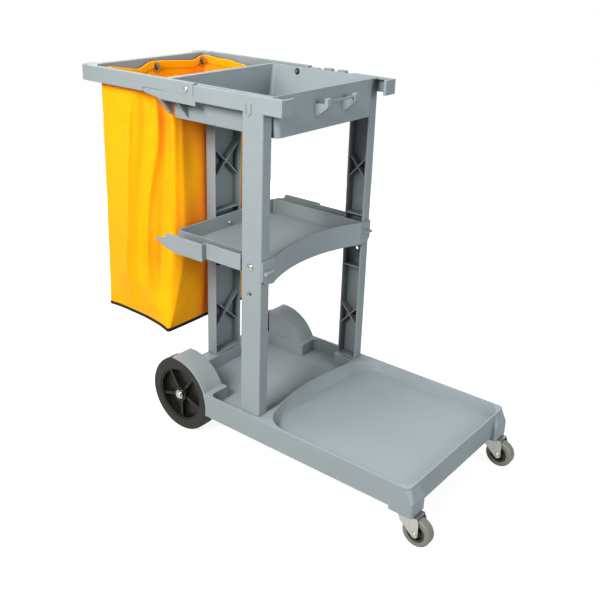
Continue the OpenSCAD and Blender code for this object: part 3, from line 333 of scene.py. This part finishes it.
# Waste bag: yellow vinyl-coated cloth, one piece folded round and sewn, with a flat bottom panel.
# It hangs by five eyelets from hooks on the frame and the tray lip, so it sags in folds between them.
# X places below count from the front face of the front posts, which stands at post_face.
post_face = 0.068
bag_rear, bag_front, bag_half, fold_front = -0.603, -0.362, 0.205, -0.361
hook_row, hole_radius, hole_reach = 0.954, 0.0085, 0.02
rear_hooks, front_hooks = (-0.182, 0.0, 0.182), (-0.140, 0.140)
hem, sheet_t, bag_drop, bottom_sag = 0.022, 0.0013, 0.69, 0.009
front_slack, hook_lift, hook_spread = 0.953, 0.017, 0.035
front_foot, foot_tilt, foot_sag = 0.273, 0.018, 0.006
rear_corner = 0.2035
# Plan of the bag by height (height, place): rear and front walls, side creases, half widths and corner radii.
rear_line = [(0.28, -0.609), (0.45, -0.607), (0.75, -0.605), (0.93, -0.603), (1.0, -0.603)]
front_line = [(0.26, -0.366), (0.5, -0.360), (0.93, -0.3622), (1.0, -0.362)]
crease_line = [(0.27, -0.521), (0.431, -0.508), (0.689, -0.487), (0.93, -0.474), (1.0, -0.474)]
crease_half = [(0.27, 0.206), (0.35, 0.213), (0.43, 0.219), (0.55, 0.219), (0.7, 0.218), (0.88, 0.210),
               (1.0, 0.206)]
crease_radius = [(0.27, 0.06), (0.40, 0.04), (0.50, 0.010), (0.85, 0.010), (0.93, 0.05), (1.0, 0.05)]
front_half = [(0.27, 0.203), (0.30, 0.196), (0.35, 0.181), (0.41, 0.165), (0.47, 0.154), (0.58, 0.142),
              (0.86, 0.142), (0.91, 0.156), (0.94, 0.166), (1.0, 0.166)]
rear_radius = [(0.27, 0.007), (0.45, 0.016), (0.7, 0.020), (0.93, 0.014), (1.0, 0.014)]
front_radius = [(0.27, 0.008), (0.42, 0.022), (0.6, 0.028), (0.85, 0.026), (0.93, 0.012), (1.0, 0.012)]
# Second fold of the near side by height: its share of the way to the front, and the depth of the hollow by it.
second_fold = [(0.27, 0.62), (0.35, 0.52), (0.41, 0.45), (0.47, 0.40), (0.575, 0.37), (0.645, 0.41), (0.72, 0.48),
               (0.785, 0.56), (0.9, 0.58)]
hollow_depth = [(0.3, 0.0032), (0.41, 0.0096), (0.47, 0.0120), (0.58, 0.0080), (0.9, 0.0064)]
# Bottom edge of each side, from end to end (place, height).
side_foot = [(-0.609, 0.290), (-0.366, 0.274)]
front_wall_foot = [(-bag_half, 0.274), (bag_half, 0.274)]
rear_wall_foot = [(-bag_half, 0.290), (bag_half, 0.290)]
# Upper edge of the hem (place, height): along Y at the rear, along X on the near and far sides.
rear_hem = [(-0.205, 0.974), (-0.165, 0.974), (-0.10, 0.963), (-0.07, 0.957), (-0.055, 0.959), (-0.036, 0.970),
            (-0.018, 0.974), (0.018, 0.974), (0.05, 0.971), (0.14, 0.9635), (0.158, 0.965), (0.176, 0.974),
            (0.205, 0.975)]
near_hem = [(-0.603, 0.974), (-0.56, 0.966), (-0.45, 0.955), (-0.40, 0.955), (-0.36, 0.956)]
far_hem = [(-0.603, 0.974), (-0.551, 0.969), (-0.497, 0.969), (-0.485, 0.963), (-0.44, 0.964), (-0.36, 0.956)]


def ease(low, high, value):
    """Smooth step from 0 at low to 1 at high."""
    share = min(1, max(0, (value - low) / (high - low)))
    return share * share * (3 - 2 * share)


def bump(offset, width):
    """Bell of height 1 round offset 0."""
    return math.exp(-(offset / width) ** 2)


def folds(place, *ridges):
    """Height at a place of ridges (place, height, width). A height below 0 makes a hollow."""
    return sum(height * bump(place - at, width) for at, height, width in ridges)


def along(points, value):
    """Straight lines through points (place, height), at value."""
    for (a, low), (b, high) in zip(points, points[1:]):
        if value <= b:
            return low + (high - low) * max(0, value - a) / (b - a)
    return points[-1][1]


def bag_loop(z):
    """Plan of the bag at height z, as points (x, y, outward x, outward y). The bottom panel keeps it square
    below, and above it the hooks draw the front in, so that each side is creased and slants to the front."""
    rear, front, crease = along(rear_line, z), along(front_line, z), along(crease_line, z)
    wide, nose = along(crease_half, z), along(front_half, z)
    crisp, tight, loose = along(crease_radius, z), along(rear_radius, z), along(front_radius, z)
    turns = [(rear, -rear_corner, tight, 16), (crease, -wide, crisp, 6), (front, -nose, loose, 16),
             (front, nose, loose, 16), (crease, wide, crisp, 6), (rear, rear_corner, tight, 16)]
    runs = [24, 34, 72, 34, 24, 80]
    arcs = []
    for i, (x, y, radius, steps) in enumerate(turns):
        here = Vector((x, y))
        a = (here - Vector(turns[i - 1][:2])).normalized()
        b = (Vector(turns[(i + 1) % len(turns)][:2]) - here).normalized()
        turn = math.atan2(a.x * b.y - a.y * b.x, a.dot(b))
        middle = here - a * radius * math.tan(turn / 2) - Vector((a.y, -a.x)) * radius
        lead = math.atan2(-a.x, a.y)
        rays = [(math.cos(lead + turn * k / steps), math.sin(lead + turn * k / steps)) for k in range(steps + 1)]
        arcs.append([(middle.x + radius * c, middle.y + radius * s, c, s) for c, s in rays])
    loop = []
    for i, (arc, run) in enumerate(zip(arcs, runs)):
        a, b = arc[-1], arcs[(i + 1) % len(arcs)][0]
        loop += arc
        loop += [tuple(u + (v - u) * k / run for u, v in zip(a, b)) for k in range(1, run)]
    return loop


def bottom_facet(place, z, ends, apex, depth):
    """Inward dent below an inverted V: it starts at the creases and is deepest on the bottom edge."""
    crease = along([ends[0], apex, ends[1]], place)
    foot = along(ends, place)
    middle, reach = (ends[0][0] + ends[1][0]) / 2, (ends[1][0] - ends[0][0]) / 2
    bow = max(0, 1 - ((place - middle) / reach) ** 2)
    return depth * bow * min(1.1, max(0, crease - z) / max(0.012, crease - foot))


def bag_push(x, y, out_x, out_y, z):
    """How far the cloth stands out of the plain form at a point: hanging folds and bottom facets."""
    hang = ease(0.95, 0.86, z)
    low_end = ease(0.33, 0.5, z)
    crease = along(crease_line, z)
    share = (x - crease) / (fold_front - crease)
    push = 0.0
    if out_y < 0:
        flat = ease(0.3, 0.9, -out_y)
        second = along(second_fold, z)
        push += flat * hang * ease(0.30, 0.44, z) * folds(
            share, (0, 0.0050, 0.045), (second / 2, -0.0080, 0.10), (second, 0.0110, 0.065),
            ((second + 0.88) / 2, -along(hollow_depth, z), 0.085), (0.87, 0.0090, 0.07))
        push -= flat * bottom_facet(x, z, side_foot, apex=(-0.512, 0.436), depth=0.017)
    if out_y > 0:
        flat = ease(0.3, 0.9, out_y)
        push += flat * hang * low_end * folds(
            share, (0, 0.0035, 0.06), (0.5 + 0.4 * (z - 0.6), 0.0060, 0.11), (0.74 + 0.2 * (z - 0.6), -0.0060, 0.10))
        push -= flat * bottom_facet(x, z, side_foot, apex=(-0.47, 0.43), depth=0.012)
    if out_x > 0:
        flat = ease(0.6, 0.97, out_x)
        push += flat * hang * low_end * folds(
            y, (0.085 - 0.15 * (z - 0.6), 0.0045, 0.024), (0.01, -0.0045, 0.03),
            (-0.085 - 0.1 * (z - 0.6), -0.0025, 0.03))
        push -= flat * bottom_facet(y, z, front_wall_foot, apex=(-0.02, 0.46), depth=0.008)
    if out_x < 0:
        flat = ease(0.6, 0.97, -out_x)
        lean = 0.08 * (z - 0.7)
        push += flat * hang * low_end * folds(
            y, (-0.15 + lean, 0.008, 0.022), (-0.02 + lean, 0.008, 0.022), (0.14 + lean, 0.008, 0.022),
            (-0.085, -0.006, 0.03), (0.07, -0.006, 0.03))
        push -= flat * bottom_facet(y, z, rear_wall_foot, apex=(0.02, 0.45), depth=0.012)
    push += hang * (0.0020 * noise.noise(Vector((x * 9, y * 9, z * 5)))
                    + 0.0008 * noise.noise(Vector((x * 26, y * 26, z * 19))))
    return push


def bag_top(x, y, out_x, out_y):
    """Height of the hem: up at the hooks, slack between them."""
    if out_x < -0.7:
        return along(rear_hem, y)
    if out_x > 0.7:
        return front_slack + folds(y, *[(hook, hook_lift, hook_spread) for hook in front_hooks])
    return along(near_hem if out_y < 0 else far_hem, x)


def bag_foot(x, y):
    """Height of the bottom edge: it tilts down to the front and sags a little between the corners."""
    level = front_foot + foot_tilt * (x - bag_front) / (bag_rear - bag_front)
    return level - foot_sag * (1 - (abs(y) / bag_half) ** 2) * ease(-0.5, -0.37, x)


def cloth_piece(name, points, faces, corners_uv):
    """Makes a smooth object from a sheet's points and faces, with coordinates along the cloth in metres."""
    mesh = bpy.data.meshes.new(name)
    mesh.from_pydata(points, [], faces)
    layer = mesh.uv_layers.new(name="cloth_metres")
    for corner, pair in zip(layer.data, corners_uv):
        corner.uv = pair
    for face in mesh.polygons:
        face.use_smooth = True
    piece = bpy.data.objects.new(name, mesh)
    scene.collection.objects.link(piece)
    return piece


# Rows run from the hem to the bottom edge, close together in the doubled hem and at the bottom.
hem_rows, wall_rows = 7, 99
drops = [0, 0.003, 0.007, 0.011, 0.015, 0.019, hem, hem + 0.0015, 0.027, 0.033]
drops = [drop / bag_drop for drop in drops] + [0.055 + 0.93 * k / (wall_rows - 1) for k in range(wall_rows)]
drops += [0.9895, 0.994, 0.998, 1.0]
start = bag_loop(0.95)
count, rows = len(start), len(drops)
tops = [bag_top(*p) for p in start]
tops = [sum(tops[(i + k) % count] for k in range(-2, 3)) / 5 for i in range(count)]
feet = [bag_foot(p[0], p[1]) for p in bag_loop(0.28)]
round_way = [0.0]
for i in range(count):
    a, b = start[i], start[(i + 1) % count]
    round_way.append(round_way[-1] + math.hypot(b[0] - a[0], b[1] - a[1]))
points, faces, corners_uv = [], [], []
for share in drops:
    row = [top + (foot - top) * share for top, foot in zip(tops, feet)]
    loop = bag_loop(sum(row) / count)
    for (x, y, out_x, out_y), z in zip(loop, row):
        push = bag_push(x, y, out_x, out_y, z)
        points.append(Vector((post_face + x + out_x * push, y + out_y * push, z)))
foot_line = [p.copy() for p in points[-count:]]
foot_out = [Vector((out_x, out_y, 0)) for x, y, out_x, out_y in loop]
holes = [(post_face + bag_rear, y) for y in rear_hooks] + [(post_face + bag_front, y) for y in front_hooks]
for r in range(rows - 1):
    high, low = bag_drop * drops[r], bag_drop * drops[r + 1]
    for i in range(count):
        j = (i + 1) % count
        middle = (points[r * count + i] + points[(r + 1) * count + j]) / 2
        if any(math.hypot(middle.y - y, middle.z - hook_row) < hole_radius and abs(middle.x - x) < hole_reach
               for x, y in holes):
            continue
        faces.append((r * count + i, (r + 1) * count + i, (r + 1) * count + j, r * count + j))
        corners_uv += [(round_way[i], high), (round_way[i], low), (round_way[i + 1], low), (round_way[i + 1], high)]
# The bottom panel closes the last row in shrinking rings and sags in the middle.
middle = sum(foot_line, Vector()) / count
for size in (0.985, 0.95, 0.88, 0.76, 0.6, 0.42, 0.22):
    base = len(points)
    for p in foot_line:
        inner = middle + (p - middle) * size
        inner.z -= bottom_sag * (1 - size) ** 0.7
        points.append(inner)
    for i in range(count):
        j = (i + 1) % count
        faces.append((base - count + i, base + i, base + j, base - count + j))
        corners_uv += [(points[k].x, points[k].y) for k in faces[-1]]
points.append(middle - Vector((0, 0, bottom_sag)))
last = len(points) - 1
for i in range(count):
    faces.append((last - count + i, last, last - count + (i + 1) % count))
    corners_uv += [(points[k].x, points[k].y) for k in faces[-1]]
bag = cloth_piece("bag_sheet", points, faces, corners_uv)
doubled = bag.vertex_groups.new(name="doubled_hem")
doubled.add(list(range(hem_rows * count)), 1.0, "REPLACE")
doubled.add(list(range(hem_rows * count, len(points))), 0.0, "REPLACE")
skin = bag.modifiers.new("cloth_thickness", "SOLIDIFY")
skin.thickness = 2 * sheet_t
skin.offset = -1
skin.vertex_group = "doubled_hem"
skin.thickness_vertex_group = 0.5

vinyl, tree, shader = new_finish("yellow_vinyl", IOR=1.48, Specular_IOR_Level=0.06, Subsurface_Weight=0.35,
                                 Subsurface_Scale=1.0, Subsurface_Radius=(0.0060, 0.0008, 0.0002))
on_cloth = place(tree, "ShaderNodeUVMap", uv_map="cloth_metres").outputs[0]
spot = place(tree, "ShaderNodeTexCoord").outputs["Object"]
cloud = place(tree, "ShaderNodeTexNoise", Vector=spot, Scale=9.0, Detail=4.0).outputs[0]
cloud = place(tree, "ShaderNodeMapRange", Value=cloud, From_Min=0.3, From_Max=0.7).outputs[0]
dye = mix_tones(tree, cloud, (0.91, 0.362, 0.003, 1), (0.94, 0.395, 0.004, 1))
# Painted shade: cloth shut in next to the post and the tray is mixed to a deeper orange, standing in for shade and
# bounced light.
sky = place(tree, "ShaderNodeAmbientOcclusion", samples=8, Distance=0.2).outputs["AO"]
painted_shade_share = place(tree, "ShaderNodeMapRange", Value=sky, From_Min=0.84, From_Max=0.42, To_Max=0.95).outputs[0]
painted_shade_dye = mix_tones(tree, painted_shade_share, dye, (0.75, 0.168, 0.014, 1))
# Stitches: one row of short thread along the lower edge of the hem.
stitch_row, stitch_half, stitch_pitch, stitch_length = hem - 0.0025, 0.0006, 0.0042, 0.0029
way = place(tree, "ShaderNodeSeparateXYZ", on_cloth).outputs
row = place(tree, "ShaderNodeMath", way["Y"], stitch_row, operation="SUBTRACT").outputs[0]
row = place(tree, "ShaderNodeMath", row, operation="ABSOLUTE").outputs[0]
row = place(tree, "ShaderNodeMath", row, stitch_half, operation="LESS_THAN").outputs[0]
dash = place(tree, "ShaderNodeMath", way["X"], stitch_pitch, operation="MODULO").outputs[0]
dash = place(tree, "ShaderNodeMath", dash, stitch_length, operation="LESS_THAN").outputs[0]
thread = place(tree, "ShaderNodeMath", row, dash, operation="MULTIPLY").outputs[0]
tree.links.new(mix_tones(tree, thread, painted_shade_dye, (0.93, 0.42, 0.008, 1)), shader["Base Color"])
# Weave: the scrim of the cloth shows faintly through the coating.
warp = place(tree, "ShaderNodeTexWave", Vector=on_cloth, Scale=190.0, bands_direction="X").outputs["Fac"]
weft = place(tree, "ShaderNodeTexWave", Vector=on_cloth, Scale=190.0, bands_direction="Y").outputs["Fac"]
weave = place(tree, "ShaderNodeMath", warp, weft, operation="MULTIPLY").outputs[0]
fine = place(tree, "ShaderNodeTexNoise", Vector=spot, Scale=320.0, Detail=2.0).outputs[0]
cloth = place(tree, "ShaderNodeMath", weave, fine, operation="ADD").outputs[0]
cloth = place(tree, "ShaderNodeMath", cloth, thread, operation="ADD").outputs[0]
relief = place(tree, "ShaderNodeBump", Strength=0.12, Distance=0.0006, Height=cloth).outputs[0]
tree.links.new(relief, shader["Normal"])
gloss = place(tree, "ShaderNodeMapRange", Value=cloud, To_Min=0.36, To_Max=0.46).outputs[0]
tree.links.new(gloss, shader["Roughness"])
bag.data.materials.append(vinyl)
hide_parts("waste_bag")
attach(bag, "cart")

# Bottom binding: black woven tape, ribbed across and slightly linty. It is folded over the seam between
# the walls and the bottom panel, and sewn.
tape_profile = [(0.0016, -0.0030), (0.0018, 0.0020), (0.0015, 0.0064), (0.0002, 0.0068), (-0.0024, 0.0054),
                (-0.0026, -0.0012), (-0.0012, -0.0034)]
tape_step = 0.002
points, faces, corners_uv = [], [], []
for p, out in zip(foot_line, foot_out):
    for off, up in tape_profile:
        points.append(p + out * off + Vector((0, 0, up)))
n = len(tape_profile)
for i in range(count):
    j = (i + 1) % count
    for k in range(n):
        m = (k + 1) % n
        faces.append((i * n + k, j * n + k, j * n + m, i * n + m))
        low, high = tape_step * k, tape_step * k + tape_step
        corners_uv += [(round_way[i], low), (round_way[i + 1], low), (round_way[i + 1], high), (round_way[i], high)]
tape = cloth_piece("bag_tape", points, faces, corners_uv)
webbing, tree, shader = new_finish("black_tape", Specular_IOR_Level=0.15)
on_tape = place(tree, "ShaderNodeUVMap", uv_map="cloth_metres").outputs[0]
ribs = place(tree, "ShaderNodeTexWave", Vector=on_tape, Scale=160.0, bands_direction="X").outputs["Fac"]
spot = place(tree, "ShaderNodeTexCoord").outputs["Object"]
lint = place(tree, "ShaderNodeTexNoise", Vector=spot, Scale=160.0, Detail=3.0).outputs[0]
yarn = mix_tones(tree, lint, (0.006, 0.005, 0.004, 1), (0.020, 0.017, 0.013, 1))
tree.links.new(yarn, shader["Base Color"])
gloss = place(tree, "ShaderNodeMapRange", Value=lint, To_Min=0.65, To_Max=0.85).outputs[0]
tree.links.new(gloss, shader["Roughness"])
relief = place(tree, "ShaderNodeBump", Strength=0.4, Distance=0.0004, Height=ribs).outputs[0]
tree.links.new(relief, shader["Normal"])
tape.data.materials.append(webbing)
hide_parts("bag_binding")
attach(tape, "cart")
